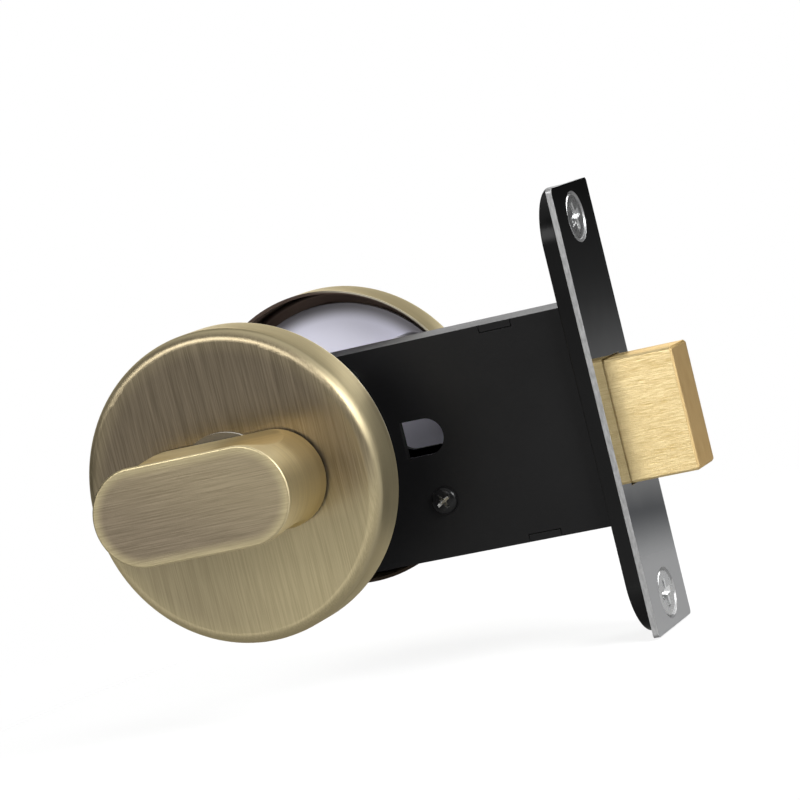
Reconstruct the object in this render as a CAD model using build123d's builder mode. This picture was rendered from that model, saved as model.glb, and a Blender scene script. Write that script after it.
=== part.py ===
import math
import os

from build123d import *

os.makedirs("parts", exist_ok=True)

# Layout in the door: X points out of the door edge, Z up the forend, Y along the spindle to the outside face.
# The origin is the middle of the inner forend's rear face, where the lock seats on the door edge.
door_t = 40.0
backset = 60.0
spindle_up = 2.5

# Forend strips.
forend_len = 76.0
forend_w = 19.0
forend_in_t = 2.6
forend_out_t = 1.0
forend_corner = 0.7
forend_screw_inset = 5.75
forend_screw_r = 2.0
forend_head_r = 4.2
wood_hole_step = 6.75
wood_hole_r = 2.25

# Lock case of folded sheet.
case_depth = 78.0
case_h = 37.2
case_t = 15.0
sheet_t = 1.2
case_corner = 2.0
bend_r = 0.8
tab_x = -12.3
tab_w = 5.6
tab_gap = 0.12
tenon_w = 6.0
slot_x = -32.75
slot_len = 14.1
slot_h = 6.2
slot_drop = 0.25
cover_slot_len = 7.3
pillar_r = 2.4
pillar_spigot_r = 1.5
guide_x = -28.2
guide_z = -8.9
pillar_inset_x = 4.2
pillar_inset_z = 4.0
cover_screw_r = 1.2
cover_head_r = 2.3
cover_head_h = 1.0

# Bolt and its drive.
throw = 12.0
bolt_h = 20.8
bolt_t = 9.0
bolt_z = -2.2
bolt_inside = 9.0
bolt_edge = 0.35
bolt_gap = 0.3
tail_t = 3.0
tail_top = -3.6
tail_bottom = -13.6
tongue_len = 7.4
tongue_gap = 0.05
rivet_r = 1.5
rivet_pitch = 4.2
horn_w = 3.0
square = 5.0
square_gap = 0.05
hub_r = 5.8
journal_r = 4.8
tip_r = 2.2
neck_w = 3.0
run_gap = 0.05
slide_gap = 0.15
side_gap = 0.2
spring_t = 0.4
spring_w = 5.0
spring_span = 20.0
spring_foot = 5.0

# Roses, one on each door face.
rose_r = 26.5
rose_h = 8.5
rose_wall = 0.55
rose_floor = 0.8
rose_edge = 2.0
rose_inner_edge = 0.9
base_rim = 3.0
base_t = 0.8
base_gap = 0.7
base_back = 0.1
lug_w = 6.0
lug_gap = 0.1
lug_start = 190.0
lug_sweep = 160.0
fix_angle = 36.0
boss_r = 4.2
boss_inset = 0.3
sleeve_r = 2.7
fix_head_r = 3.6
fix_head_h = 1.6
fix_seat = 4.0
fix_screw_r = 1.95
fix_gap = 0.06
fix_clear = 0.25
sleeve_reach = 9.0
screw_reach = 2.0

# Thumb-turn, release button and indicator.
turn_len = 35.4
turn_w = 16.6
turn_top = 16.5
turn_lift = 0.7
turn_edge = 0.35
flute_deep = 1.7
flute_land = 0.5
bush_r = 7.45
bush_flange_r = 9.5
bush_flange_t = 0.4
bush_len = 3.5
turn_boss_r = 6.0
socket_gap = 4.0
clip_t = 0.6
clip_r = 8.2
clip_bite = 0.7
clip_gap = 0.1
clip_land = 0.8
disc_r = 14.6
disc_t = 0.3
disc_gap = 0.2
window_in = 9.3
window_out = 13.4
window_half = 30.0
window_gap = 0.06
release_r = 7.2
release_h = 1.8
release_shaft_r = 5.5
release_lift = 0.15
coin_w = 1.8
coin_deep = 1.2

# Places that follow from the sizes above.
forend_x = forend_in_t + forend_out_t
axis_x = forend_x - backset
forend_screw_z = forend_len / 2 - forend_screw_inset
wood_hole_z = forend_screw_z - wood_hole_step
back_y = case_t / 2
inner_y = back_y - sheet_t
seat_y = door_t / 2
face_y = seat_y + rose_h
floor_y = face_y - rose_floor
base_top_y = floor_y - base_gap
base_bottom_y = base_top_y - base_t
seat_head_y = seat_y + fix_seat
arm_r = throw / math.sqrt(2)
arm_slack = arm_r * math.sin(math.acos(throw / 2 / (math.pi / 4) / arm_r))
arm_lead = arm_slack - throw / 2 * math.acos(throw / 2 / (math.pi / 4) / arm_r) / (math.pi / 4)
gate_half = tip_r + arm_lead + slide_gap
gate_x = axis_x + throw / 2
gate_floor = spindle_up - arm_r - tip_r - 2 * slide_gap
base_r = rose_r - base_rim
fix_pitch_r = base_r - boss_inset - boss_r
fix_dx = fix_pitch_r * math.cos(math.radians(fix_angle))
fix_dz = fix_pitch_r * math.sin(math.radians(fix_angle))
fix_spots = [(axis_x + fix_dx, spindle_up + fix_dz), (axis_x - fix_dx, spindle_up - fix_dz)]
rear_pillar_x = pillar_inset_x - case_depth
rear_pillar_z = case_h / 2 - pillar_inset_z
pillar_spots = [(guide_x, guide_z), (rear_pillar_x, rear_pillar_z), (rear_pillar_x, -rear_pillar_z)]
tenon_z = case_h / 2 - sheet_t / 2
slot_z = spindle_up - slot_drop
slot_end_x = slot_x + slot_len / 2
rivet_x = -bolt_inside + tongue_len / 2
rivet_mid_z = (tail_top + bolt_z - bolt_h / 2) / 2
rivet_spots = [(rivet_x, rivet_mid_z + rivet_pitch / 2), (rivet_x, rivet_mid_z - rivet_pitch / 2)]
spindle_axis = Axis((axis_x, 0, spindle_up), (0, 1, 0))
radial = Plane(origin=(axis_x, 0, spindle_up), x_dir=(1, 0, 0), z_dir=(0, 0, 1))

# Folded tray: back plate, three walls, tabs for the cover and tenons for the inner forend.
with BuildPart() as case_body:
    with BuildSketch(Plane.XZ.offset(-back_y)):
        with Locations((-case_depth / 2, 0)):
            Rectangle(case_depth, case_h)
    extrude(amount=case_t - sheet_t)
    fillet(case_body.edges().filter_by(Axis.Y).group_by(Axis.X)[0], case_corner)
    fillet(case_body.faces().sort_by(Axis.Y)[-1].edges().filter_by(Axis.X), bend_r)
    with BuildSketch(Plane.XZ.offset(-inner_y)):
        with Locations((-case_depth + sheet_t, 0)):
            Rectangle(case_depth, case_h - 2 * sheet_t, align=(Align.MIN, Align.CENTER))
    extrude(amount=2 * inner_y, mode=Mode.SUBTRACT)
    with BuildSketch(Plane.XZ.offset(inner_y)):
        with Locations((tab_x, tenon_z), (tab_x, -tenon_z)):
            Rectangle(tab_w, sheet_t)
    extrude(amount=sheet_t)
    with BuildSketch(Plane.YZ):
        with Locations((0, tenon_z), (0, -tenon_z)):
            Rectangle(tenon_w, sheet_t)
    extrude(amount=forend_in_t)
    with BuildSketch(Plane.XZ.offset(-back_y)):
        with Locations((axis_x, spindle_up)):
            Circle(journal_r + run_gap)
        with Locations((slot_x, slot_z)):
            SlotOverall(slot_len, slot_h)
        with Locations(*pillar_spots):
            Circle(pillar_spigot_r + fix_gap)
    extrude(amount=sheet_t, mode=Mode.SUBTRACT)
    with BuildSketch(Plane.XZ.offset(-back_y)):
        with Locations(*fix_spots):
            Circle(sleeve_r + fix_clear)
    extrude(amount=case_t, mode=Mode.SUBTRACT)
case_body.part.label = "case_body"
export_step(case_body.part, "parts/case_body.step")

# Flat cover plate on the tray's open side, notched for the tabs.
with BuildPart() as case_cover:
    with BuildSketch(Plane.XZ.offset(inner_y)):
        with Locations((-case_depth / 2, 0)):
            Rectangle(case_depth, case_h)
    extrude(amount=sheet_t)
    fillet(case_cover.edges().filter_by(Axis.Y).group_by(Axis.X)[0], case_corner)
    with BuildSketch(Plane.XZ.offset(inner_y)):
        with Locations((tab_x, case_h / 2), (tab_x, -case_h / 2)):
            Rectangle(tab_w + 2 * tab_gap, 2 * (sheet_t + tab_gap))
        with Locations((axis_x, spindle_up)):
            Circle(journal_r + run_gap)
        with Locations((slot_end_x - cover_slot_len, slot_z)):
            Rectangle(cover_slot_len - slot_h / 2, slot_h, align=(Align.MIN, Align.CENTER))
        with Locations((slot_end_x - slot_h / 2, slot_z)):
            Circle(slot_h / 2)
        with Locations(*fix_spots):
            Circle(sleeve_r + fix_clear)
        with Locations(*pillar_spots):
            Circle(cover_screw_r + fix_gap)
    extrude(amount=sheet_t, mode=Mode.SUBTRACT)
case_cover.part.label = "case_cover"
export_step(case_cover.part, "parts/case_cover.step")

# Pillars riveted into the tray and tapped for the cover screws. The front one guides the bolt tail.
with BuildPart() as case_pillars:
    with BuildSketch(Plane.XZ.offset(-inner_y)):
        with Locations(*pillar_spots):
            Circle(pillar_r)
    extrude(amount=2 * inner_y)
    with BuildSketch(Plane.XZ.offset(-back_y)):
        with Locations(*pillar_spots):
            Circle(pillar_spigot_r)
    extrude(amount=sheet_t)
    with BuildSketch(Plane.XZ.offset(inner_y)):
        with Locations(*pillar_spots):
            Circle(cover_screw_r + fix_gap)
    extrude(amount=-inner_y, mode=Mode.SUBTRACT)
case_pillars.part.label = "case_pillars"
export_step(case_pillars.part, "parts/case_pillars.step")

# Pan-head screws holding the cover.
with BuildPart() as cover_screws:
    with BuildSketch(Plane.XZ.offset(back_y)):
        with Locations(*pillar_spots):
            Circle(cover_head_r)
    extrude(amount=cover_head_h)
    fillet(cover_screws.edges().filter_by(GeomType.CIRCLE).group_by(Axis.Y)[0], cover_head_h / 2)
    with BuildSketch(Plane.XZ.offset(back_y)):
        with Locations(*pillar_spots):
            Circle(cover_screw_r)
    extrude(amount=-inner_y)
cover_screws.part.label = "cover_screws"
export_step(cover_screws.part, "parts/cover_screws.step")

# Inner forend: round-ended strip seated on the door edge, riveted over the tray's tenons.
with BuildPart() as inner_forend:
    with BuildSketch(Plane.YZ):
        SlotOverall(forend_len, forend_w, rotation=90)
        with Locations((0, bolt_z)):
            Rectangle(bolt_t + 2 * bolt_gap, bolt_h + 2 * bolt_gap, mode=Mode.SUBTRACT)
        with Locations((0, tenon_z), (0, -tenon_z)):
            Rectangle(tenon_w + 2 * fix_gap, sheet_t + 2 * fix_gap, mode=Mode.SUBTRACT)
        with Locations((0, wood_hole_z), (0, -wood_hole_z)):
            Circle(wood_hole_r, mode=Mode.SUBTRACT)
    extrude(amount=forend_in_t)
    with Locations(
        Plane(origin=(forend_x, 0, forend_screw_z), z_dir=(1, 0, 0)),
        Plane(origin=(forend_x, 0, -forend_screw_z), z_dir=(1, 0, 0)),
    ):
        CounterSinkHole(forend_screw_r + fix_gap, forend_head_r + 2 * fix_gap, counter_sink_angle=90)
inner_forend.part.label = "inner_forend"
export_step(inner_forend.part, "parts/inner_forend.step")

# Outer forend: polished strip with square ends.
with BuildPart() as outer_forend:
    with BuildSketch(Plane.YZ.offset(forend_in_t)):
        RectangleRounded(forend_w, forend_len, forend_corner)
        with Locations((0, bolt_z)):
            Rectangle(bolt_t + 2 * bolt_gap, bolt_h + 2 * bolt_gap, mode=Mode.SUBTRACT)
    extrude(amount=forend_out_t)
    with Locations(
        Plane(origin=(forend_x, 0, forend_screw_z), z_dir=(1, 0, 0)),
        Plane(origin=(forend_x, 0, -forend_screw_z), z_dir=(1, 0, 0)),
    ):
        CounterSinkHole(forend_screw_r + fix_gap, forend_head_r + 2 * fix_gap, counter_sink_angle=90)
outer_forend.part.label = "outer_forend"
export_step(outer_forend.part, "parts/outer_forend.step")

# Countersunk screws joining the two strips.
with BuildPart() as forend_screws:
    with BuildSketch(Plane(origin=(0, 0, forend_screw_z), x_dir=(0, 1, 0), z_dir=(0, 0, 1))):
        with BuildLine():
            Polyline(
                (0, 0),
                (forend_screw_r, 0),
                (forend_screw_r, -forend_x + forend_head_r - forend_screw_r),
                (forend_head_r, -forend_x),
                (0, -forend_x),
                close=True,
            )
        make_face()
    revolve(axis=Axis((0, 0, forend_screw_z), (1, 0, 0)))
    mirror(about=Plane.XY)
forend_screws.part.label = "forend_screws"
export_step(forend_screws.part, "parts/forend_screws.step")

# Bowed leaf on the tray's floor, bearing on the lower edge of the bolt tail.
spring_rear_x = guide_x - spring_span
spring_low = -case_h / 2 + sheet_t
spring_high = tail_bottom - run_gap
with BuildPart() as friction_spring:
    with BuildSketch(Plane.XZ.offset(-spring_w / 2)):
        with BuildLine():
            lower = ThreePointArc(
                (spring_rear_x, spring_low),
                (spring_rear_x + spring_span / 2, spring_high - spring_t),
                (spring_rear_x + spring_span, spring_low),
            )
            upper = ThreePointArc(
                (spring_rear_x, spring_low + spring_t),
                (spring_rear_x + spring_span / 2, spring_high),
                (spring_rear_x + spring_span, spring_low + spring_t),
            )
            Line(lower @ 0, upper @ 0)
            Line(lower @ 1, upper @ 1)
        make_face()
        with Locations((spring_rear_x, spring_low), (spring_rear_x + spring_span, spring_low)):
            Rectangle(spring_foot, spring_t, align=(Align.CENTER, Align.MIN))
    extrude(amount=spring_w)
friction_spring.part.label = "friction_spring"
export_step(friction_spring.part, "parts/friction_spring.step")

# Bolt head: square brass block with a rear slot for the tail.
with BuildPart() as deadbolt:
    with BuildSketch(Plane.YZ.offset(-bolt_inside)):
        with Locations((0, bolt_z)):
            Rectangle(bolt_t, bolt_h)
    extrude(amount=bolt_inside + forend_x + throw)
    chamfer(deadbolt.edges().filter_by(Axis.X), bolt_edge)
    chamfer(deadbolt.faces().sort_by(Axis.X)[-1].edges(), bolt_edge)
    with BuildSketch(Plane.YZ.offset(-bolt_inside)):
        with Locations((0, bolt_z)):
            Rectangle(tail_t + 2 * tongue_gap, 2 * bolt_h)
    extrude(amount=tongue_len + tongue_gap, mode=Mode.SUBTRACT)
    with BuildSketch(Plane.XZ):
        with Locations(*rivet_spots):
            Circle(rivet_r)
    extrude(amount=bolt_t, both=True, mode=Mode.SUBTRACT)
deadbolt.part.label = "deadbolt"
export_step(deadbolt.part, "parts/deadbolt.step")

# Bolt tail: flat bar with a tongue, a slot round the guide pillar and a gate for the follower's arm.
tail_rear = gate_x - gate_half - horn_w
tail_h = tail_top - tail_bottom
gate_h = tail_top - gate_floor
tongue_low = bolt_z - bolt_h / 2 + 2 * bolt_edge
with BuildPart() as bolt_tail:
    with BuildSketch(Plane.XZ):
        with Locations((tail_rear, tail_bottom)):
            Rectangle(-bolt_inside - tongue_gap - tail_rear, tail_h, align=(Align.MIN, Align.MIN))
        with Locations((-bolt_inside + tongue_len, tongue_low)):
            Rectangle(tongue_len + horn_w, tail_top - tongue_low, align=(Align.MAX, Align.MIN))
        with Locations((gate_x, gate_floor)):
            Rectangle(2 * gate_half, gate_h, align=(Align.CENTER, Align.MIN), mode=Mode.SUBTRACT)
        with Locations((guide_x + throw / 2, guide_z)):
            SlotCenterToCenter(throw + 2 * slide_gap, 2 * (pillar_r + slide_gap), mode=Mode.SUBTRACT)
        with Locations(*rivet_spots):
            Circle(rivet_r, mode=Mode.SUBTRACT)
    extrude(amount=tail_t / 2, both=True)
    fillet(bolt_tail.edges().filter_by(Axis.Y).group_by(Axis.X)[0], horn_w / 4)
bolt_tail.part.label = "bolt_tail"
export_step(bolt_tail.part, "parts/bolt_tail.step")

# Rivets through head and tail.
with BuildPart() as bolt_rivets:
    with BuildSketch(Plane.XZ):
        with Locations(*rivet_spots):
            Circle(rivet_r - run_gap / 2)
    extrude(amount=bolt_t / 2, both=True)
bolt_rivets.part.label = "bolt_rivets"
export_step(bolt_rivets.part, "parts/bolt_rivets.step")

# Follower: hub on two journals, with the arm that drives the bolt tail.
with BuildPart() as follower:
    with BuildSketch(Plane.XZ):
        with Locations((axis_x, spindle_up)):
            Circle(hub_r)
    extrude(amount=inner_y - side_gap, both=True)
    with BuildSketch(Plane.XZ):
        with Locations((axis_x, spindle_up)):
            Circle(journal_r)
    extrude(amount=back_y, both=True)
    with BuildSketch(Plane.XZ):
        with Locations(Location((axis_x, spindle_up), -45)):
            with Locations((arm_r / 2, 0)):
                Rectangle(arm_r, neck_w)
            with Locations((arm_r, 0)):
                Circle(tip_r)
    extrude(amount=tail_t / 2, both=True)
    with BuildSketch(Plane.XZ):
        with Locations((axis_x, spindle_up)):
            Rectangle(square + 2 * square_gap, square + 2 * square_gap)
    extrude(amount=back_y, both=True, mode=Mode.SUBTRACT)
follower.part.label = "follower"
export_step(follower.part, "parts/follower.step")

# Square spindle from the thumb-turn to the release button.
spindle_front = face_y + turn_top - socket_gap
spindle_rear = base_bottom_y
with BuildPart() as spindle:
    with BuildSketch(Plane.XZ.offset(-spindle_rear)):
        with Locations((axis_x, spindle_up)):
            Rectangle(square, square)
    extrude(amount=spindle_rear + spindle_front)
    chamfer(spindle.faces().filter_by(Axis.Y).edges(), square / 10)
spindle.part.label = "spindle"
export_step(spindle.part, "parts/spindle.step")

# Inside rose: brass cup with a filleted edge, open towards the door.
with BuildPart() as front_rose_cover:
    with BuildSketch(radial):
        with BuildLine():
            Polyline(
                (bush_r + run_gap, -face_y),
                (rose_r, -face_y),
                (rose_r, -seat_y),
                (rose_r - rose_wall, -seat_y),
                (rose_r - rose_wall, -floor_y),
                (bush_r + run_gap, -floor_y),
                close=True,
            )
        make_face()
    revolve(axis=spindle_axis)
    fillet(front_rose_cover.edges().group_by(Axis.Y)[0].sort_by(SortBy.RADIUS)[-1], rose_edge)
    floor_edges = front_rose_cover.edges().filter_by_position(Axis.Y, -floor_y - run_gap, -floor_y + run_gap)
    fillet(floor_edges.sort_by(SortBy.RADIUS)[-1], rose_inner_edge)
front_rose_cover.part.label = "front_rose_cover"
export_step(front_rose_cover.part, "parts/front_rose_cover.step")

# White base in the inside rose: disc, screw bosses and three lugs that grip the cup.
with BuildPart() as front_rose_base:
    with BuildSketch(Plane(origin=(axis_x, -base_bottom_y, spindle_up), x_dir=(1, 0, 0), z_dir=(0, -1, 0))):
        Circle(base_r)
        with PolarLocations(base_r, 3, start_angle=lug_start, angular_range=lug_sweep, endpoint=True):
            Rectangle(2 * (rose_r - base_r), lug_w)
        Circle(rose_r - rose_wall - lug_gap, mode=Mode.INTERSECT)
        Circle(bush_r + run_gap, mode=Mode.SUBTRACT)
    extrude(amount=base_t)
    with BuildSketch(Plane.XZ.offset(base_bottom_y)):
        with Locations(*fix_spots):
            Circle(boss_r)
    extrude(amount=-(base_bottom_y - seat_y - base_back))
    with BuildSketch(Plane.XZ.offset(seat_y)):
        with Locations(*fix_spots):
            Circle(fix_screw_r + fix_gap)
    extrude(amount=rose_h, mode=Mode.SUBTRACT)
    with BuildSketch(Plane.XZ.offset(seat_head_y)):
        with Locations(*fix_spots):
            Circle(fix_head_r + fix_gap)
    extrude(amount=rose_h, mode=Mode.SUBTRACT)
front_rose_base.part.label = "front_rose_base"
export_step(front_rose_base.part, "parts/front_rose_base.step")

# Flanged bush for the turn in the inside rose.
bush_end_y = face_y - bush_len
with BuildPart() as turn_bush:
    with BuildSketch(radial):
        with BuildLine():
            Polyline(
                (turn_boss_r + run_gap, -bush_end_y),
                (bush_r, -bush_end_y),
                (bush_r, -face_y),
                (bush_flange_r, -face_y),
                (bush_flange_r, -face_y - bush_flange_t),
                (turn_boss_r + run_gap, -face_y - bush_flange_t),
                close=True,
            )
        make_face()
    revolve(axis=spindle_axis)
turn_bush.part.label = "turn_bush"
export_step(turn_bush.part, "parts/turn_bush.step")

# Thumb-turn: round-ended grip with a scooped flute along each long side and a boss through the bush.
turn_front_y = face_y + turn_top
turn_back_y = face_y + turn_lift
turn_clip_y = bush_end_y - clip_gap - clip_t
flute_y = -(turn_front_y + turn_back_y) / 2
flute_half = (turn_front_y - turn_back_y) / 2 - flute_land
flute_r = (flute_half**2 + flute_deep**2) / (2 * flute_deep)
flute_off = turn_w / 2 + flute_r - flute_deep
with BuildPart() as thumb_turn:
    with BuildSketch(Plane.XZ.offset(turn_back_y)):
        with Locations((axis_x, spindle_up)):
            SlotOverall(turn_len, turn_w)
    extrude(amount=turn_front_y - turn_back_y)
    with Locations((axis_x, flute_y, spindle_up + flute_off), (axis_x, flute_y, spindle_up - flute_off)):
        Cylinder(flute_r, turn_len, rotation=(0, 90, 0), mode=Mode.SUBTRACT)
    fillet(thumb_turn.faces().sort_by(Axis.Y)[0].edges(), turn_edge)
    with BuildSketch(radial):
        with BuildLine():
            Polyline(
                (0, -turn_back_y),
                (turn_boss_r, -turn_back_y),
                (turn_boss_r, -turn_clip_y - clip_t),
                (turn_boss_r - clip_bite, -turn_clip_y - clip_t),
                (turn_boss_r - clip_bite, -turn_clip_y),
                (turn_boss_r, -turn_clip_y),
                (turn_boss_r, -turn_clip_y + clip_land),
                (0, -turn_clip_y + clip_land),
                close=True,
            )
        make_face()
    revolve(axis=spindle_axis)
    with BuildSketch(Plane.XZ.offset(turn_clip_y - clip_land)):
        with Locations((axis_x, spindle_up)):
            Rectangle(square + 2 * square_gap, square + 2 * square_gap)
    extrude(amount=spindle_front + square_gap - turn_clip_y + clip_land, mode=Mode.SUBTRACT)
thumb_turn.part.label = "thumb_turn"
export_step(thumb_turn.part, "parts/thumb_turn.step")

# Retaining ring behind the bush, open on one side.
with BuildPart() as turn_clip:
    with BuildSketch(Plane.XZ.offset(turn_clip_y)):
        with Locations((axis_x, spindle_up)):
            Circle(clip_r)
            Circle(turn_boss_r - clip_bite, mode=Mode.SUBTRACT)
        with Locations((axis_x, spindle_up - clip_r)):
            Rectangle(2 * turn_boss_r - 2 * clip_bite, 2 * (clip_r - clip_bite), mode=Mode.SUBTRACT)
    extrude(amount=clip_t)
turn_clip.part.label = "turn_clip"
export_step(turn_clip.part, "parts/turn_clip.step")

# Outside rose: the same cup, with a hole for the release button and a crescent window above it.
with BuildPart() as rear_rose_cover:
    with BuildSketch(radial):
        with BuildLine():
            Polyline(
                (release_shaft_r + run_gap, face_y),
                (rose_r, face_y),
                (rose_r, seat_y),
                (rose_r - rose_wall, seat_y),
                (rose_r - rose_wall, floor_y),
                (release_shaft_r + run_gap, floor_y),
                close=True,
            )
        make_face()
    revolve(axis=spindle_axis)
    fillet(rear_rose_cover.edges().group_by(Axis.Y)[-1].sort_by(SortBy.RADIUS)[-1], rose_edge)
    floor_edges = rear_rose_cover.edges().filter_by_position(Axis.Y, floor_y - run_gap, floor_y + run_gap)
    fillet(floor_edges.sort_by(SortBy.RADIUS)[-1], rose_inner_edge)
    with BuildSketch(Plane(origin=(axis_x, face_y, spindle_up), x_dir=(1, 0, 0), z_dir=(0, -1, 0))):
        with BuildLine():
            low = CenterArc((0, 0), window_in, 90 - window_half, 2 * window_half)
            high = CenterArc((0, 0), window_out, 90 - window_half, 2 * window_half)
            Line(low @ 0, high @ 0)
            Line(low @ 1, high @ 1)
        make_face()
    extrude(amount=rose_floor, mode=Mode.SUBTRACT)
rear_rose_cover.part.label = "rear_rose_cover"
export_step(rear_rose_cover.part, "parts/rear_rose_cover.step")

# Clear lens filling the window.
lens_y = face_y - window_gap
lens_half = window_half - math.degrees(window_gap / window_in)
with BuildPart() as indicator_window:
    with BuildSketch(Plane(origin=(axis_x, lens_y, spindle_up), x_dir=(1, 0, 0), z_dir=(0, -1, 0))):
        with BuildLine():
            low = CenterArc((0, 0), window_in + window_gap, 90 - lens_half, 2 * lens_half)
            high = CenterArc((0, 0), window_out - window_gap, 90 - lens_half, 2 * lens_half)
            Line(low @ 0, high @ 0)
            Line(low @ 1, high @ 1)
        make_face()
    extrude(amount=rose_floor - window_gap)
indicator_window.part.label = "indicator_window"
export_step(indicator_window.part, "parts/indicator_window.step")

# White base in the outside rose, with bosses for the sleeve nuts.
with BuildPart() as rear_rose_base:
    with BuildSketch(Plane(origin=(axis_x, base_top_y, spindle_up), x_dir=(1, 0, 0), z_dir=(0, -1, 0))):
        Circle(base_r)
        with PolarLocations(base_r, 3, start_angle=lug_start, angular_range=lug_sweep, endpoint=True):
            Rectangle(2 * (rose_r - base_r), lug_w)
        Circle(rose_r - rose_wall - lug_gap, mode=Mode.INTERSECT)
        Circle(release_shaft_r + run_gap, mode=Mode.SUBTRACT)
    extrude(amount=base_t)
    with BuildSketch(Plane.XZ.offset(-base_bottom_y)):
        with Locations(*fix_spots):
            Circle(boss_r)
    extrude(amount=base_bottom_y - seat_y - base_back)
    with BuildSketch(Plane.XZ.offset(-seat_y)):
        with Locations(*fix_spots):
            Circle(sleeve_r + fix_gap)
    extrude(amount=-rose_h, mode=Mode.SUBTRACT)
    with BuildSketch(Plane.XZ.offset(-seat_head_y)):
        with Locations(*fix_spots):
            Circle(fix_head_r + fix_gap)
    extrude(amount=-rose_h, mode=Mode.SUBTRACT)
rear_rose_base.part.label = "rear_rose_base"
export_step(rear_rose_base.part, "parts/rear_rose_base.step")

# Sleeve nuts from the outside rose, passing through the case.
with BuildPart() as sleeve_nuts:
    with BuildSketch(Plane.XZ.offset(-seat_head_y - fix_head_h)):
        with Locations(*fix_spots):
            Circle(fix_head_r)
    extrude(amount=fix_head_h)
    with BuildSketch(Plane.XZ.offset(-seat_head_y)):
        with Locations(*fix_spots):
            Circle(sleeve_r)
    extrude(amount=seat_head_y + sleeve_reach)
    with BuildSketch(Plane.XZ.offset(sleeve_reach)):
        with Locations(*fix_spots):
            Circle(fix_screw_r + fix_gap)
    extrude(amount=-sleeve_reach - seat_head_y, mode=Mode.SUBTRACT)
sleeve_nuts.part.label = "sleeve_nuts"
export_step(sleeve_nuts.part, "parts/sleeve_nuts.step")

# Screws from the inside rose into the sleeve nuts.
with BuildPart() as rose_screws:
    with BuildSketch(Plane.XZ.offset(seat_head_y)):
        with Locations(*fix_spots):
            Circle(fix_head_r)
    extrude(amount=fix_head_h)
    fillet(rose_screws.edges().filter_by(GeomType.CIRCLE).group_by(Axis.Y)[0], fix_head_h / 3)
    with BuildSketch(Plane.XZ.offset(seat_head_y)):
        with Locations(*fix_spots):
            Circle(fix_screw_r)
    extrude(amount=-seat_head_y - screw_reach)
rose_screws.part.label = "rose_screws"
export_step(rose_screws.part, "parts/rose_screws.step")

# Release button: coin-slotted head outside, shaft through the rose, socket for the spindle.
release_clip_y = base_bottom_y - clip_gap - clip_t
disc_y = floor_y - disc_gap - disc_t
with BuildPart() as release_turn:
    with BuildSketch(radial):
        with BuildLine():
            Polyline(
                (0, release_clip_y - clip_land),
                (release_shaft_r, release_clip_y - clip_land),
                (release_shaft_r, release_clip_y),
                (release_shaft_r - clip_bite, release_clip_y),
                (release_shaft_r - clip_bite, release_clip_y + clip_t),
                (release_shaft_r, release_clip_y + clip_t),
                (release_shaft_r, face_y + release_lift),
                (release_r, face_y + release_lift),
                (release_r, face_y + release_lift + release_h),
                (0, face_y + release_lift + release_h),
                close=True,
            )
        make_face()
    revolve(axis=spindle_axis)
    fillet(release_turn.edges().group_by(Axis.Y)[-1], release_h / 4)
    with BuildSketch(Plane.XZ.offset(-face_y - release_lift - release_h)):
        with Locations((axis_x, spindle_up)):
            Rectangle(2 * release_r + 1, coin_w)
    extrude(amount=coin_deep, mode=Mode.SUBTRACT)
    with BuildSketch(Plane.XZ.offset(-base_bottom_y - 2 * square_gap)):
        with Locations((axis_x, spindle_up)):
            Rectangle(square + 2 * square_gap, square + 2 * square_gap)
    extrude(amount=rose_h, mode=Mode.SUBTRACT)
release_turn.part.label = "release_turn"
export_step(release_turn.part, "parts/release_turn.step")

# Indicator disc on the release shaft, behind the window.
with BuildPart() as indicator_disc:
    with BuildSketch(Plane.XZ.offset(-disc_y)):
        with Locations((axis_x, spindle_up)):
            Circle(disc_r)
            Circle(release_shaft_r, mode=Mode.SUBTRACT)
    extrude(amount=-disc_t)
indicator_disc.part.label = "indicator_disc"
export_step(indicator_disc.part, "parts/indicator_disc.step")

# Retaining ring on the release shaft.
with BuildPart() as release_clip:
    with BuildSketch(Plane.XZ.offset(-release_clip_y)):
        with Locations((axis_x, spindle_up)):
            Circle(clip_r)
            Circle(release_shaft_r - clip_bite, mode=Mode.SUBTRACT)
        with Locations((axis_x, spindle_up - clip_r)):
            Rectangle(2 * release_shaft_r - 2 * clip_bite, 2 * (clip_r - clip_bite), mode=Mode.SUBTRACT)
    extrude(amount=-clip_t)
release_clip.part.label = "release_clip"
export_step(release_clip.part, "parts/release_clip.step")
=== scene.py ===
import math

import bmesh
import bpy
from mathutils import Matrix, Vector


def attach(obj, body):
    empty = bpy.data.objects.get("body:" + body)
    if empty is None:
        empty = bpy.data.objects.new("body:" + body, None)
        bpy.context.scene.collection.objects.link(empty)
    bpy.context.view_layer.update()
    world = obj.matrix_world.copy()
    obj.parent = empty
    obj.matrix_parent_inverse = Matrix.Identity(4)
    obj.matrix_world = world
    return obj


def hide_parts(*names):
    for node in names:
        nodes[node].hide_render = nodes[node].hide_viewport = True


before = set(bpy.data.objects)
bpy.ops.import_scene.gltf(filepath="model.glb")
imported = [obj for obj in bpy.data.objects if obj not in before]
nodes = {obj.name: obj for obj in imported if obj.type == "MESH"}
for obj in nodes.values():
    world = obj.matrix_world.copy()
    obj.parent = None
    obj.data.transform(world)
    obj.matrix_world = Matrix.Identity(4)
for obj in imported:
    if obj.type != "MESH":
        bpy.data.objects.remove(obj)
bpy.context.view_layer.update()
scene = bpy.context.scene

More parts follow.
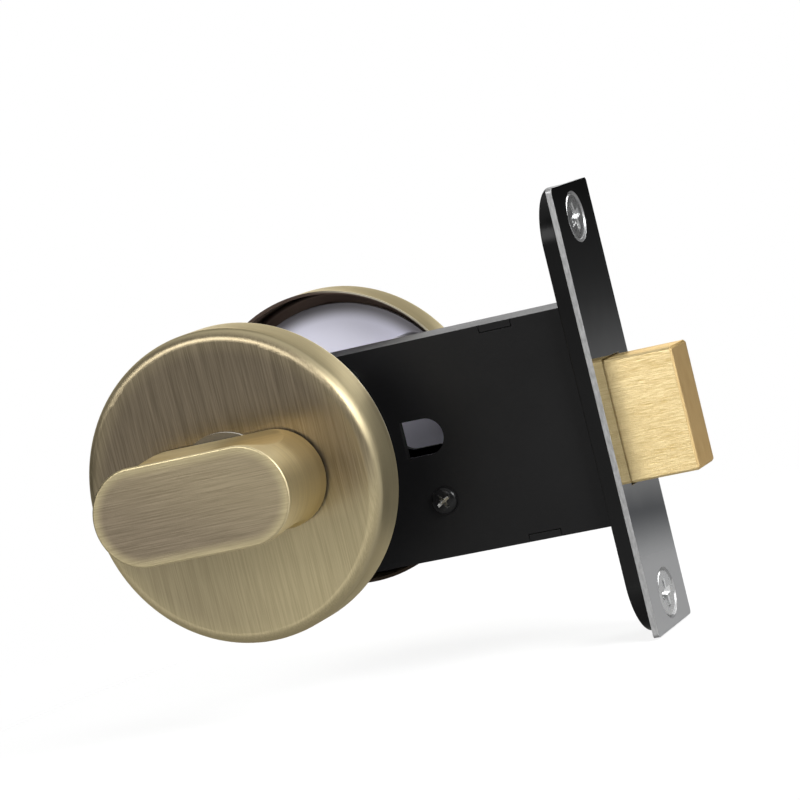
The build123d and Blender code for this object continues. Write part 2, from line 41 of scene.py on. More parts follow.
# Camera: a long lens a little above the lock, in front of the thumb-turn and towards the forend.
# It leans, so the lock runs uphill to the right as it does in the photograph.
camera_data = bpy.data.cameras.new("photo_camera")
camera_data.sensor_width = 36.0
camera_data.lens = 154.902
camera_data.clip_start = 0.02
camera_data.clip_end = 20.0
camera = bpy.data.objects.new("photo_camera", camera_data)
scene.collection.objects.link(camera)
camera_place = (0.187516, -0.540153, 0.054024)
camera_right = Vector((0.904618, 0.352334, -0.239849))
camera_up = Vector((0.193784, 0.161219, 0.967707))
camera_back = camera_right.cross(camera_up)
camera_turn = Matrix((camera_right, camera_up, camera_back)).transposed().to_4x4()
camera.matrix_world = Matrix.Translation(camera_place) @ camera_turn
scene.camera = camera


# Studio: a white table that fades into a white page, a dark room round it, and five soft lamps.
# The polished strip mirrors the dark of the room at its top, and the pale band below the horizon lower down.
class Wire:
    """A socket in one node tree.

    Sums between wires and numbers add Math nodes, and node() adds any other node.
    """

    def __init__(self, tree, socket=None):
        self.tree = tree
        self.socket = socket

    def node(self, kind, settings, sockets, out=0):
        made = self.tree.nodes.new(kind)
        for name, value in settings.items():
            if name == "stops":
                while len(made.color_ramp.elements) < len(value):
                    made.color_ramp.elements.new(1.0)
                for stop, (place, colour) in zip(made.color_ramp.elements, value):
                    stop.position = place
                    stop.color = colour
            else:
                setattr(made, name, value)
        for name, value in sockets.items():
            if isinstance(value, Wire):
                self.tree.links.new(value.socket, made.inputs[name])
            else:
                made.inputs[name].default_value = value
        return Wire(self.tree, made.outputs[out] if made.outputs else None)

    def sum(self, operation, first, second):
        return self.node("ShaderNodeMath", {"operation": operation}, {0: first, 1: second})

    def __add__(self, other):
        return self.sum("ADD", self, other)

    def __radd__(self, other):
        return self.sum("ADD", other, self)

    def __sub__(self, other):
        return self.sum("SUBTRACT", self, other)

    def __rsub__(self, other):
        return self.sum("SUBTRACT", other, self)

    def __mul__(self, other):
        return self.sum("MULTIPLY", self, other)

    def __rmul__(self, other):
        return self.sum("MULTIPLY", other, self)

    def __pow__(self, other):
        return self.sum("POWER", self, other)

    def __abs__(self):
        return self.sum("ABSOLUTE", self, 0.0)


def axis_of(wire, vector, axis):
    return wire.node("ShaderNodeSeparateXYZ", {}, {"Vector": vector}, out=axis)


scene.view_settings.view_transform = "Standard"
world = bpy.data.worlds.new("studio_room")
world.use_nodes = True
world.node_tree.nodes.clear()
scene.world = world
room = Wire(world.node_tree)
room_way = room.node("ShaderNodeTexCoord", {}, {}, out="Generated")
room_height = axis_of(room, room_way, "Z")
room_back = axis_of(room, room_way, "Y")
# Each stop is a height, from 0 straight down to 1 straight up, with the room's colour there.
room_stops = [
    (0.0, (0.08, 0.08, 0.08, 1)),
    (0.25, (0.16, 0.16, 0.16, 1)),
    (0.40, (0.80, 0.80, 0.80, 1)),
    (0.4296, (0.66, 0.66, 0.66, 1)),
    (0.434, (0.36, 0.37, 0.38, 1)),
    (0.4368, (0.16, 0.17, 0.19, 1)),
    (0.4392, (0.74, 0.74, 0.74, 1)),
    (0.4617, (0.32, 0.32, 0.32, 1)),
    (0.466, (0.18, 0.18, 0.18, 1)),
    (0.470, (0.09, 0.09, 0.09, 1)),
    (0.475, (0.07, 0.07, 0.07, 1)),
    (0.487, (0.02, 0.02, 0.02, 1)),
    (0.53, (0.02, 0.02, 0.02, 1)),
    (0.70, (0.10, 0.10, 0.10, 1)),
    (1.0, (0.22, 0.22, 0.22, 1)),
]
horizon_blur = 0.02
front_strength = 1.5
back_strength = 0.4
room_shade = room.node("ShaderNodeValToRGB", {"stops": room_stops}, {"Fac": room_height * 0.5 + 0.5})
room_low = room.node(
    "ShaderNodeMapRange", {}, {"Value": room_height, "From Min": horizon_blur, "From Max": -horizon_blur}
)
room_side = room.node(
    "ShaderNodeMapRange",
    {},
    {
        "Value": room_back,
        "From Min": -0.9,
        "From Max": 0.9,
        "To Min": front_strength,
        "To Max": back_strength,
    },
)
room_light = room.node(
    "ShaderNodeBackground", {}, {"Color": room_shade, "Strength": 1.0 + room_low * (room_side - 1.0)}
)
page_light = room.node("ShaderNodeBackground", {}, {"Color": (1, 1, 1, 1), "Strength": 1.0})
seen = room.node("ShaderNodeLightPath", {}, {}, out="Is Camera Ray")
room_mix = room.node("ShaderNodeMixShader", {}, {0: seen, 1: room_light, 2: page_light})
room.node("ShaderNodeOutputWorld", {}, {"Surface": room_mix})


def new_finish(name):
    material = bpy.data.materials.new(name)
    material.use_nodes = True
    material.node_tree.nodes.clear()
    return material, Wire(material.node_tree)


def lay_finish(wire, sockets):
    shader = wire.node("ShaderNodeBsdfPrincipled", {}, sockets)
    wire.node("ShaderNodeOutputMaterial", {}, {"Surface": shader})


def place_on(wire):
    return wire.node("ShaderNodeTexCoord", {}, {}, out="Object")


def vector_sum(wire, operation, first, second, out="Vector"):
    return wire.node("ShaderNodeVectorMath", {"operation": operation}, {0: first, 1: second}, out=out)


def ramp_of(wire, value, low, high, low_out=0.0, high_out=1.0):
    return wire.node(
        "ShaderNodeMapRange",
        {"interpolation_type": "SMOOTHSTEP"},
        {"Value": value, "From Min": low, "From Max": high, "To Min": low_out, "To Max": high_out},
    )


table_middle = (-0.03, 0, -0.0384)
table_radius = 0.75
fade_start = 0.09
fade_end = 0.18
table_cover = 0.3
table_mesh = bmesh.new()
bmesh.ops.create_circle(
    table_mesh, cap_ends=True, radius=table_radius, segments=128, matrix=Matrix.Translation(table_middle)
)
table_data = bpy.data.meshes.new("table")
table_mesh.to_mesh(table_data)
table_mesh.free()
table = bpy.data.objects.new("table", table_data)
scene.collection.objects.link(table)
table_white, wire = new_finish("table_white")
at = place_on(wire)
reach = vector_sum(wire, "DISTANCE", at, table_middle, out="Value")
fade = ramp_of(wire, reach, fade_start, fade_end, table_cover, 0.0)
grain = wire.node("ShaderNodeTexNoise", {}, {"Vector": at, "Scale": 900.0, "Detail": 3.0})
lay_finish(
    wire,
    {
        "Base Color": (0.93, 0.93, 0.93, 1),
        "Roughness": grain * 0.2 + 0.6,
        "Specular IOR Level": 0.1,
        "Emission Color": (1, 1, 1, 1),
        "Emission Strength": 0.3,
        "Alpha": fade,
    },
)
table.data.materials.append(table_white)

lock_middle = Vector((-0.03, 0.0, 0.0))


def soft_lamp(name, place, width, height, power):
    lamp_data = bpy.data.lights.new(name, "AREA")
    lamp_data.shape = "RECTANGLE"
    lamp_data.size = width
    lamp_data.size_y = height
    lamp_data.energy = power
    lamp = bpy.data.objects.new(name, lamp_data)
    scene.collection.objects.link(lamp)
    way = lock_middle - Vector(place)
    lamp.matrix_world = Matrix.Translation(place) @ way.to_track_quat("-Z", "Y").to_matrix().to_4x4()
    lamp.visible_camera = False


soft_lamp("key_lamp", (0.60, -0.35, 0.35), width=0.32, height=0.30, power=6.2)
soft_lamp("top_lamp", (-0.05, 0.05, 0.75), width=0.9, height=0.9, power=1.5)
soft_lamp("front_lamp", (-0.36, -0.78, 0.42), width=0.8, height=0.35, power=5.0)
soft_lamp("back_lamp", (-0.36, 0.92, 0.22), width=0.9, height=0.46, power=2.2)
soft_lamp("side_lamp", (0.66, 0.50, 0.34), width=0.5, height=0.36, power=3.6)


# Lock case: a tray folded from mild steel sheet, with a flat cover that is notched over the tray's tabs.
# Both are painted satin black, and the paint has a fine orange peel.
def noise_of(wire, place, stretch, detail=2.0, rough=0.5):
    grain = wire.node("ShaderNodeMapping", {}, {"Vector": place, "Scale": stretch})
    return wire.node(
        "ShaderNodeTexNoise", {}, {"Vector": grain, "Scale": 1.0, "Detail": detail, "Roughness": rough}
    )


def blend_of(wire, share, first, second):
    # 6, 7 and 2 are the colour sockets of a Mix node.
    return wire.node("ShaderNodeMix", {"data_type": "RGBA"}, {0: share, 6: first, 7: second}, out=2)


def relief_of(wire, height, strength, depth, edge=0.0):
    sockets = {"Height": height, "Strength": strength, "Distance": depth}
    if edge:
        sockets["Normal"] = wire.node("ShaderNodeBevel", {"samples": 6}, {"Radius": edge})
    return wire.node("ShaderNodeBump", {}, sockets)


def give(finish, *names):
    for name in names:
        for place in nodes[name].material_slots:
            place.material = finish


case_shades = (0.004, 0.004, 0.0042, 1), (0.008, 0.008, 0.0083, 1)
case_paint, wire = new_finish("case_paint")
at = place_on(wire)
peel = noise_of(wire, at, (1500, 1500, 1500), detail=3.0, rough=0.6)
cloud = noise_of(wire, at, (60, 60, 60), detail=3.0)
lay_finish(
    wire,
    {
        "Base Color": blend_of(wire, cloud, *case_shades),
        "Roughness": peel * 0.14 + cloud * 0.1 + 0.3,
        "Specular IOR Level": 0.16,
        "Normal": relief_of(wire, peel, strength=0.12, depth=0.0002, edge=0.00018),
    },
)
give(case_paint, "case_body", "case_cover")

# Works inside the case: pillars, follower, bolt tail, rivets and spindle of zinc-plated steel.
# The plating is dull, with a faint straw and blue bloom. The leaf and the clips are blued spring steel.
zinc_shades = (0.50, 0.52, 0.56, 1), (0.62, 0.60, 0.55, 1)
zinc_plate, wire = new_finish("zinc_plate")
at = place_on(wire)
bloom = noise_of(wire, at, (220, 220, 220), detail=3.0)
frost = noise_of(wire, at, (2600, 2600, 2600))
lay_finish(
    wire,
    {
        "Base Color": blend_of(wire, bloom, *zinc_shades),
        "Metallic": 1.0,
        "Roughness": frost * 0.18 + 0.22,
        "Normal": relief_of(wire, frost, strength=0.1, depth=0.0001, edge=0.00012),
    },
)
give(zinc_plate, "case_pillars", "follower", "bolt_tail", "bolt_rivets", "spindle")

blued_shades = (0.16, 0.17, 0.20, 1), (0.26, 0.27, 0.30, 1)
spring_blue, wire = new_finish("spring_blue")
at = place_on(wire)
draw = noise_of(wire, at, (300, 2400, 2400))
lay_finish(
    wire,
    {
        "Base Color": blend_of(wire, draw, *blued_shades),
        "Metallic": 1.0,
        "Roughness": draw * 0.15 + 0.25,
        "Normal": relief_of(wire, draw, strength=0.1, depth=0.0001, edge=0.0001),
    },
)
give(spring_blue, "friction_spring", "turn_clip", "release_clip")


# Cover screws: small pan-head machine screws, blackened, driven into the pillars through the cover.
# Two of them sit behind the inside rose and one shows on the open part of the case.
# The driver has left bare metal in the cross of each head.
def cross_head(mesh, rings, span, arm, depth):
    facets = 48
    taper = 0.6
    top_r, top_z = rings[0]
    rim = bmesh.ops.create_circle(
        mesh, radius=top_r, segments=facets, matrix=Matrix.Translation((0, 0, top_z))
    )["verts"]
    outer = list({edge for vert in rim for edge in vert.link_edges})
    corners = []
    for turn in range(4):
        quarter = Matrix.Rotation(turn * math.pi / 2, 3, "Z")
        for spot in ((span / 2, -arm / 2, top_z), (span / 2, arm / 2, top_z), (arm / 2, arm / 2, top_z)):
            corners.append(mesh.verts.new(quarter @ Vector(spot)))
    cross = [mesh.edges.new((corners[i], corners[i - 1])) for i in range(len(corners))]
    bmesh.ops.triangle_fill(mesh, edges=outer + cross, use_beauty=True)
    sunk = bmesh.ops.extrude_edge_only(mesh, edges=cross)["geom"]
    low = [part for part in sunk if isinstance(part, bmesh.types.BMVert)]
    bmesh.ops.scale(mesh, vec=(taper, taper, 1.0), verts=low)
    bmesh.ops.translate(mesh, vec=(0, 0, -depth), verts=low)
    floor = [part for part in sunk if isinstance(part, bmesh.types.BMEdge)]
    bmesh.ops.triangle_fill(mesh, edges=floor, use_beauty=True)
    bmesh.ops.bevel(
        mesh,
        geom=cross,
        offset=arm * 0.16,
        segments=2,
        profile=0.5,
        affect="EDGES",
        material=-1,
        clamp_overlap=True,
    )
    edge_ring = outer
    last_r, last_z = top_r, top_z
    for ring_r, ring_z in rings[1:]:
        grown = bmesh.ops.extrude_edge_only(mesh, edges=edge_ring)["geom"]
        edge_ring = [part for part in grown if isinstance(part, bmesh.types.BMEdge)]
        moved = [part for part in grown if isinstance(part, bmesh.types.BMVert)]
        bmesh.ops.scale(mesh, vec=(ring_r / last_r, ring_r / last_r, 1.0), verts=moved)
        bmesh.ops.translate(mesh, vec=(0, 0, ring_z - last_z), verts=moved)
        last_r, last_z = ring_r, ring_z
    bmesh.ops.contextual_create(mesh, geom=edge_ring)
    bmesh.ops.recalc_face_normals(mesh, faces=mesh.faces)


def drive_screw(mesh, rings, span, arm, depth, twist, tip_axis, place):
    one = bmesh.new()
    cross_head(one, rings, span, arm, depth)
    bmesh.ops.rotate(one, matrix=Matrix.Rotation(twist, 3, "Z"), verts=one.verts)
    bmesh.ops.rotate(one, matrix=Matrix.Rotation(math.pi / 2, 3, tip_axis), verts=one.verts)
    bmesh.ops.translate(one, vec=place, verts=one.verts)
    painted_light_slope = bpy.data.meshes.new("screw_held")
    one.to_mesh(painted_light_slope)
    one.free()
    mesh.from_mesh(painted_light_slope)
    bpy.data.meshes.remove(painted_light_slope)


def add_piece(name, mesh, body, finish, soft_angle):
    data = bpy.data.meshes.new(name)
    mesh.to_mesh(data)
    mesh.free()
    data.shade_smooth()
    data.set_sharp_from_angle(angle=math.radians(soft_angle))
    data.materials.append(finish)
    made = bpy.data.objects.new(name, data)
    scene.collection.objects.link(made)
    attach(made, body)
    return made


# Rings of a screw are radius and height, from the top of the head down the shank.
cover_rings = [
    (0.00135, 0.0010),
    (0.00180, 0.00092),
    (0.00212, 0.00072),
    (0.00228, 0.00042),
    (0.00230, 0.0),
    (0.00120, 0.0),
    (0.00120, -0.0065),
]
cover_y = -0.0075
# Each place is x, z and the angle at which the cross came to rest.
cover_places = [(-0.0282, -0.0089, 0.5), (-0.0738, 0.0146, 0.2), (-0.0738, -0.0146, 0.9)]
soot_shades = (0.003, 0.003, 0.0031, 1), (0.007, 0.007, 0.0072, 1)
bare_metal = (0.52, 0.52, 0.51, 1)
screw_black, wire = new_finish("screw_black")
at = place_on(wire)
soot = noise_of(wire, at, (1800, 1800, 1800), detail=3.0)
flat = vector_sum(wire, "MULTIPLY", at, (1, 0, 1))
near = 1.0
for screw_x, screw_z, _ in cover_places:
    reach = vector_sum(wire, "DISTANCE", flat, (screw_x, 0, screw_z), out="Value")
    near = wire.sum("MINIMUM", near, reach)
driven = ramp_of(wire, near, 0.00137, 0.00131) * ramp_of(wire, axis_of(wire, at, "Y"), -0.00849, -0.0084)
black = blend_of(wire, soot, *soot_shades)
lay_finish(
    wire,
    {
        "Base Color": blend_of(wire, driven, black, bare_metal),
        "Metallic": driven,
        "Roughness": soot * 0.14 + 0.22 - driven * 0.1,
        "Specular IOR Level": 0.25,
        "Normal": relief_of(wire, soot, strength=0.15, depth=0.0001),
    },
)
cover_mesh = bmesh.new()
for screw_x, screw_z, twist in cover_places:
    drive_screw(
        cover_mesh,
        cover_rings,
        span=0.0027,
        arm=0.00062,
        depth=0.0008,
        twist=twist,
        tip_axis="X",
        place=(screw_x, cover_y, screw_z),
    )
cover_heads = add_piece("cover_screw_heads", cover_mesh, "lock", screw_black, soft_angle=35.0)
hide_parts("cover_screws")


# Inner forend: a thicker steel strip with round ends, in a glossier black enamel than the case.
# It is riveted over the tray's tenons and carries the lock in the door edge. Its rear face has a duller coat.
def skin_of(wire):
    return wire.node("ShaderNodeTexCoord", {}, {}, out="Normal")


enamel_shades = (0.004, 0.004, 0.004, 1), (0.008, 0.008, 0.008, 1)
forend_enamel, wire = new_finish("forend_enamel")
at = place_on(wire)
flow = noise_of(wire, at, (500, 500, 120), detail=3.0)
cloud = noise_of(wire, at, (70, 70, 70), detail=3.0)
rear = ramp_of(wire, axis_of(wire, skin_of(wire), "X"), -0.5, -0.9)
lay_finish(
    wire,
    {
        "Base Color": blend_of(wire, cloud, *enamel_shades),
        "Roughness": flow * 0.12 + cloud * 0.06 + rear * 0.5 + 0.14,
        "Specular IOR Level": 0.12,
        "Normal": relief_of(wire, flow, strength=0.1, depth=0.0003, edge=0.0004),
    },
)
give(forend_enamel, "inner_forend")


# Outer forend: a thin strip of stainless steel, mirror polished on its face.
# Its sides are left as they were sheared, brighter and torn across.
def facing_of(wire, axis):
    return abs(axis_of(wire, skin_of(wire), axis))


sheared_shades = (0.20, 0.20, 0.20, 1), (0.62, 0.62, 0.62, 1)
polished_steel = (0.46, 0.465, 0.47, 1)
forend_polish, wire = new_finish("forend_polish")
at = place_on(wire)
front = ramp_of(wire, facing_of(wire, "X"), 0.6, 0.95)
wave = noise_of(wire, at, (60, 90, 45))
hair = noise_of(wire, at, (900, 5200, 120))
torn = noise_of(wire, at, (3200, 3200, 900), detail=3.0, rough=0.65)
sheared = blend_of(wire, torn, *sheared_shades)
unevenness = wave * 0.6 + hair * 0.02 * front + torn * 0.7 * (1.0 - front)
lay_finish(
    wire,
    {
        "Base Color": blend_of(wire, front, sheared, polished_steel),
        "Metallic": 1.0,
        "Roughness": front * (hair * 0.04 + 0.02) + (1.0 - front) * (torn * 0.2 + 0.35),
        "Normal": relief_of(wire, unevenness, strength=0.25, depth=0.0002, edge=0.0001),
    },
)
give(forend_polish, "outer_forend")

# Forend screws: countersunk machine screws, zinc plated, that hold the outer strip to the inner one.
# Each sits a little below the surface, so the polished cone shows round its head.
forend_rings = [
    (0.0037, 0.0),
    (0.0039, -0.0001),
    (0.0039, -0.00025),
    (0.0019, -0.0022),
    (0.0019, -0.0034),
]
forend_x = 0.00345
# Each place is z and the angle at which the cross came to rest.
forend_places = [(0.03225, 0.35), (-0.03225, 0.1)]
bright_zinc_shades = (0.56, 0.57, 0.58, 1), (0.70, 0.70, 0.69, 1)
screw_zinc, wire = new_finish("screw_zinc")
at = place_on(wire)
bloom = noise_of(wire, at, (420, 420, 420), detail=3.0)
scuff = noise_of(wire, at, (1600, 1600, 1600), detail=3.0, rough=0.6)
lay_finish(
    wire,
    {
        "Base Color": blend_of(wire, bloom, *bright_zinc_shades),
        "Metallic": 1.0,
        "Roughness": scuff * 0.16 + 0.2,
        "Normal": relief_of(wire, scuff, strength=0.1, depth=0.0001),
    },
)
forend_mesh = bmesh.new()
for screw_z, twist in forend_places:
    drive_screw(
        forend_mesh,
        forend_rings,
        span=0.0046,
        arm=0.0011,
        depth=0.0015,
        twist=twist,
        tip_axis="Y",
        place=(forend_x, 0, screw_z),
    )
forend_heads = add_piece("forend_screw_heads", forend_mesh, "lock", screw_zinc, soft_angle=22.0)
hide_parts("forend_screws")

# Bolt head: a block of yellow brass, ground along its length with a coarse belt.
# The grinding leaves bright and dull streaks on the sides. Next to the forend the sides are painted brighter,
# against the forend's shade.
# The end face is only sawn and rubbed down. Its edges are darkened with painted shade, to damp their
# highlight.
ground_shades = (0.61, 0.43, 0.17, 1), (1.0, 0.83, 0.48, 1)
sawn_shades = (0.92, 0.64, 0.31, 1), (1.0, 0.77, 0.42, 1)
painted_light_brass = (1.0, 0.80, 0.42, 1)
painted_shade_brass = (0.30, 0.20, 0.07, 1)
bolt_brass, wire = new_finish("bolt_brass")
at = place_on(wire)
end = ramp_of(wire, facing_of(wire, "X"), 0.5, 0.9)
belt = noise_of(wire, at, (380, 7600, 7600), detail=3.0, rough=0.75)
band = noise_of(wire, at, (40, 700, 700))
sawn = noise_of(wire, at, (900, 2200, 260))
glint = ramp_of(wire, belt * 0.85 + band * 0.15, 0.3, 0.7)
# Painted light: the sides are brightened next to the forend, where its shade and dark reflection fall.
painted_seam_light = ramp_of(wire, axis_of(wire, at, "X"), 0.0095, 0.0035, 0.0, 0.55)
side_colour = blend_of(wire, painted_seam_light, blend_of(wire, glint, *ground_shades), painted_light_brass)
end_colour = blend_of(wire, sawn, *sawn_shades)
clean = blend_of(wire, end, side_colour, end_colour)
# Painted shade: the rounded edges round the end face are darkened to damp their highlight.
edge = end * (1.0 - end) * 2.0
lay_finish(
    wire,
    {
        "Base Color": blend_of(wire, edge, clean, painted_shade_brass),
        "Metallic": 1.0,
        "Specular Tint": (0.92, 0.75, 0.48, 1),
        "Roughness": (1.0 - end) * (belt * 0.25 + 0.26) + end * (sawn * 0.15 + 0.36),
        "Anisotropic": 0.6,
        "Anisotropic Rotation": 0.25,
        "Normal": relief_of(
            wire, belt * (1.0 - end) + sawn * 0.4 * end, strength=0.35, depth=0.00012, edge=0.00015
        ),
    },
)
give(bolt_brass, "deadbolt")

# Roses: two cups pressed from brass sheet, brushed down the face and toned to an antique brown.
# The tone is rubbed back along the edge, so the metal shows golden there. The face is painted lighter low
# down and darker higher up, a painted light and shade.
# The inside is dark, partly a dark finish and partly painted shade, and lighter towards the top as a painted
# reflection of the base. A painted highlight runs along the lip on one side.
spindle_axis = (-0.0564, 0, 0.0025)
seat_y = 0.02
rose_r = 0.0265
# Black that the painted shade on the roses and the turn is mixed with.
painted_shade_black = (0, 0, 0, 1)


def deepen(colour, share):
    red, green, blue = colour
    return (red * share, green * share, blue * share, 1)


def antique_brass(
    name, straight, rub_low, rub_high, tone, wall, brushed_along_x=False, outward=0.0, coin_slot=False
):
    finish, wire = new_finish(name)
    at = place_on(wire)
    skin = skin_of(wire)
    skin_y = axis_of(wire, skin, "Y")
    face = ramp_of(wire, abs(skin_y), 0.4, 0.9)
    off = vector_sum(wire, "SUBTRACT", at, spindle_axis)
    off_x = axis_of(wire, off, "X")
    off_z = axis_of(wire, off, "Z")
    depth = abs(axis_of(wire, at, "Y"))
    end_x = wire.sum("MAXIMUM", abs(off_x) - straight, 0.0)
    reach = (end_x * end_x + off_z * off_z) ** 0.5
    rub = ramp_of(wire, reach, rub_low, rub_high)
    fine = (90, 4400, 4400) if brushed_along_x else (4400, 4400, 90)
    broad = (25, 360, 360) if brushed_along_x else (360, 360, 25)
    brush = noise_of(wire, at, fine, detail=3.0, rough=0.65)
    band = noise_of(wire, at, broad)
    lathe = noise_of(wire, at, (60, 2400, 60))
    streak = ramp_of(wire, brush * 0.91 + band * 0.09, 0.3, 0.7)
    toned = blend_of(
        wire, streak, deepen((0.225, 0.182, 0.124), tone), deepen((0.325, 0.266, 0.186), tone)
    )
    rubbed = blend_of(wire, streak, (0.465, 0.39, 0.228, 1), (0.58, 0.495, 0.297, 1))
    side = blend_of(wire, lathe, deepen((0.45, 0.385, 0.24), wall), deepen((0.60, 0.525, 0.335), wall))
    if outward:
        # Painted light and shade: the face is darker towards the top and lighter towards the bottom, and its
        # rubbed edge is fainter at the top.
        painted_light_shade_mask = ramp_of(wire, off_z, 0.002, -0.013) * ramp_of(wire, off_x, -0.016, 0.014, 0.6, 1.0)
        toned = blend_of(wire, painted_light_shade_mask, blend_of(wire, 0.18, toned, painted_shade_black), rubbed)
        rub = rub * (painted_light_shade_mask * 0.6 + 0.4)
    if brushed_along_x:
        # Painted light and shade: the face is lighter to the upper right and darker to the lower left.
        painted_light_slope = ramp_of(wire, off_x * 0.5 + off_z, -0.009, 0.009, 0.0, 0.3)
        toned = blend_of(wire, painted_light_slope, blend_of(wire, 0.12, toned, painted_shade_black), rubbed)
    colour = blend_of(wire, face, side, blend_of(wire, rub, toned, rubbed))
    if outward:
        round_out = vector_sum(wire, "DOT_PRODUCT", skin, off, out="Value")
        inner_wall = ramp_of(wire, 0.0 - round_out, 0.006, 0.014)
        inner_floor = ramp_of(wire, skin_y * (0.0 - outward), 0.3, 0.8)
        inside = wire.sum("MAXIMUM", inner_wall, inner_floor)
        # Painted shade and reflection: the dark inside stands for the unlit cup, lighter towards the top as a
        # painted reflection of the white base.
        painted_light_top = ramp_of(wire, off_z, 0.012, 0.027)
        dark_inside_and_shade = blend_of(wire, painted_light_top, (0.03, 0.022, 0.016, 1), (0.15, 0.108, 0.088, 1))
        # Painted highlight: a bright line along the upper right of the lip.
        painted_lip_highlight = ramp_of(wire, depth, seat_y + 0.0003, seat_y + 0.0001)
        painted_lip_highlight = painted_lip_highlight * ramp_of(wire, reach, rose_r - 0.0004, rose_r - 0.0002)
        painted_lip_highlight = painted_lip_highlight * ramp_of(wire, off_x, 0.0, 0.010) * ramp_of(wire, off_z, 0.0, 0.004)
        colour = blend_of(wire, painted_lip_highlight, blend_of(wire, inside, colour, dark_inside_and_shade), (1.0, 0.93, 0.72, 1))
    if coin_slot:
        sunk = ramp_of(wire, abs(off_z), 0.00098, 0.00088) * ramp_of(wire, depth, 0.0303, 0.0298)
        colour = blend_of(wire, sunk * 0.85, colour, (0.03, 0.023, 0.016, 1))
    brushed = brush * face + lathe * 0.5 * (1.0 - face)
    lay_finish(
        wire,
        {
            "Base Color": colour,
            "Metallic": 1.0,
            "Specular Tint": (0.88, 0.79, 0.6, 1),
            "Roughness": face * (brush * 0.2 + 0.28) + (1.0 - face) * (lathe * 0.12 + face * 0.3 + 0.40),
            "Anisotropic": 0.5,
            "Anisotropic Rotation": 0.25 if brushed_along_x else 0.0,
            "Normal": relief_of(wire, brushed, strength=0.22, depth=0.0001),
        },
    )
    return finish


for cover, finish_name, wall, outward in (
    ("front_rose_cover", "front_rose_brass", 1.05, -1.0),
    ("rear_rose_cover", "rear_rose_brass", 0.92, 1.0),
):
    rose_brass = antique_brass(
        finish_name, straight=0.0, rub_low=0.0218, rub_high=0.0262, tone=1.0, wall=wall, outward=outward
    )
    give(rose_brass, cover)

# Rose bases: white nylon mouldings, one in each cup, with bosses for the through screws.
# The moulding is smooth with a faint sheen and a slight violet cast. Towards its rim it is darkened with
# painted shade, for the shade of the cup it sits in.
nylon_shades = (0.78, 0.77, 0.895, 1), (0.85, 0.84, 0.955, 1)
painted_shade_grey = (0.10, 0.09, 0.09, 1)
base_nylon, wire = new_finish("base_nylon")
at = place_on(wire)
mould = noise_of(wire, at, (700, 700, 700))
cloud = noise_of(wire, at, (60, 60, 60))
flat = vector_sum(wire, "MULTIPLY", at, (1, 0, 1))
reach = vector_sum(wire, "DISTANCE", flat, spindle_axis, out="Value")
# Painted shade: the nylon goes grey towards its rim, where the cup shades it.
painted_rim_shade = ramp_of(wire, reach, 0.0203, 0.0230, 0.0, 0.85)
white = blend_of(wire, cloud, *nylon_shades)
lay_finish(
    wire,
    {
        "Base Color": blend_of(wire, painted_rim_shade, white, painted_shade_grey),
        "Roughness": mould * 0.15 + 0.38,
        "Normal": relief_of(wire, mould, strength=0.08, depth=0.0001, edge=0.0002),
    },
)
give(base_nylon, "front_rose_base", "rear_rose_base")

# Turn bush: an acetal washer with a thin flange, pushed into the inside rose under the turn.
# Its face is painted dark as shade from the turn, and its thin edge is a pale painted highlight.
painted_shade_colours = (0.08, 0.066, 0.046, 1), (0.115, 0.096, 0.068, 1)
painted_highlight_colours = (0.50, 0.49, 0.46, 1), (0.62, 0.61, 0.58, 1)
bush_acetal, wire = new_finish("bush_acetal")
at = place_on(wire)
mould = noise_of(wire, at, (900, 900, 900))
# Painted shade on the flat face, painted highlight on the thin edge.
painted_light_shade_mask = ramp_of(wire, facing_of(wire, "Y"), 0.5, 0.9)
painted_shade_face = blend_of(wire, mould, *painted_shade_colours)
painted_edge_highlight = blend_of(wire, mould, *painted_highlight_colours)
lay_finish(
    wire,
    {
        "Base Color": blend_of(wire, painted_light_shade_mask, painted_edge_highlight, painted_shade_face),
        "Roughness": mould * 0.15 + 0.45,
        "Specular IOR Level": 0.3,
        "Normal": relief_of(wire, mould, strength=0.1, depth=0.0001),
    },
)
give(bush_acetal, "turn_bush")

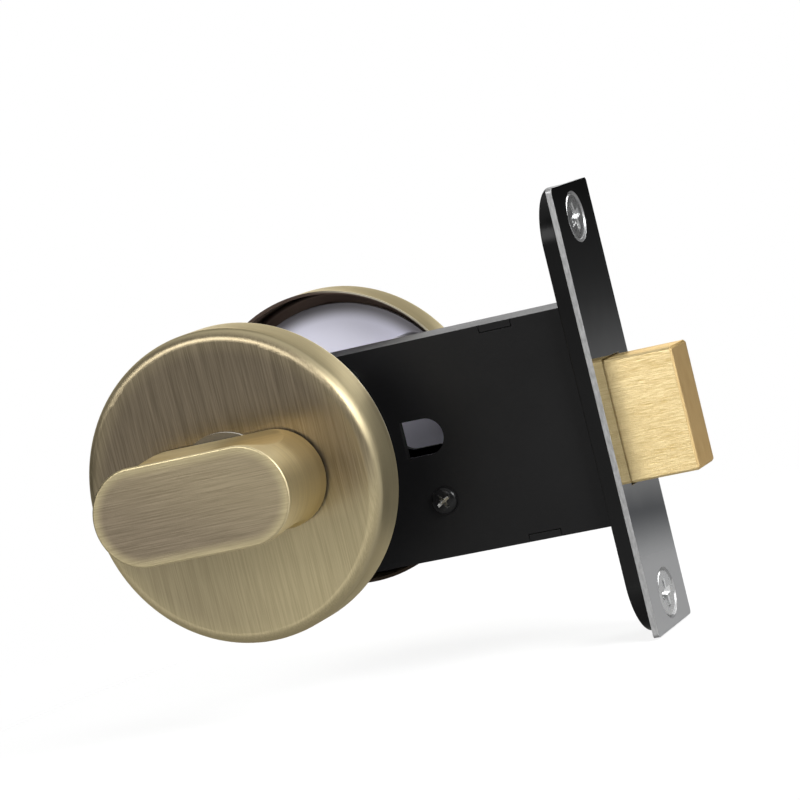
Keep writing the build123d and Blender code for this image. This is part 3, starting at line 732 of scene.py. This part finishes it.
# Through screws and sleeve nuts: zinc-plated, drawing the two roses together across the door.
# The screws are threaded into the sleeves.
screw_thread, wire = new_finish("screw_thread")
at = place_on(wire)
bloom = noise_of(wire, at, (220, 220, 220), detail=3.0)
thread = wire.node(
    "ShaderNodeTexWave",
    {"wave_type": "BANDS", "bands_direction": "Y", "wave_profile": "TRI"},
    {"Vector": at, "Scale": 450.0, "Distortion": 0.0},
    out=1,
)
lay_finish(
    wire,
    {
        "Base Color": blend_of(wire, bloom, *zinc_shades),
        "Metallic": 1.0,
        "Roughness": bloom * 0.15 + 0.25,
        "Normal": relief_of(wire, thread, strength=0.8, depth=0.0004),
    },
)
give(screw_thread, "rose_screws")
give(zinc_plate, "sleeve_nuts")

# Thumb-turn: a solid brass grip with round ends and a flute down each long side, brushed along its face.
# It has the roses' antique tone, rubbed back round the rim of the face, with painted light to the upper right
# and painted shade to the lower left.
turn_brass = antique_brass(
    "turn_brass", straight=0.0094, rub_low=0.0060, rub_high=0.0084, tone=1.05, wall=1.4, brushed_along_x=True
)
give(turn_brass, "thumb_turn")

# Release button: a coin-slotted brass head on the outside rose, with the same antique tone.
# The tone has pooled dark in the slot.
release_brass = antique_brass(
    "release_brass", straight=0.0, rub_low=0.004, rub_high=0.0072, tone=1.0, wall=1.0, coin_slot=True
)
give(release_brass, "release_turn")

# Indicator disc: a thin disc behind the window, printed red for engaged and green for vacant.
# It is fixed to the release button's shaft and turns with it.
red_shades = (0.55, 0.012, 0.012, 1), (0.66, 0.022, 0.018, 1)
green_shades = (0.02, 0.30, 0.07, 1), (0.03, 0.38, 0.10, 1)
indicator_print, wire = new_finish("indicator_print")
at = place_on(wire)
off = vector_sum(wire, "SUBTRACT", at, spindle_axis)
half = ramp_of(wire, axis_of(wire, off, "Z") + axis_of(wire, off, "X"), -0.00012, 0.00012)
speck = noise_of(wire, at, (2400, 2400, 2400))
red = blend_of(wire, speck, *red_shades)
green = blend_of(wire, speck, *green_shades)
lay_finish(
    wire,
    {
        "Base Color": blend_of(wire, half, green, red),
        "Roughness": speck * 0.1 + 0.35,
        "Normal": relief_of(wire, speck, strength=0.05, depth=0.0001),
    },
)
give(indicator_print, "indicator_disc")

# Window: a clear acrylic crescent snapped into the outside rose, just below its face.
# One colour of the disc shows through it at a time.
window_acrylic, wire = new_finish("window_acrylic")
at = place_on(wire)
haze = noise_of(wire, at, (900, 900, 900))
lay_finish(
    wire,
    {
        "Base Color": (0.97, 0.98, 0.98, 1),
        "Roughness": haze * 0.05 + 0.02,
        "Transmission Weight": 1.0,
        "IOR": 1.49,
    },
)
give(window_acrylic, "indicator_window")
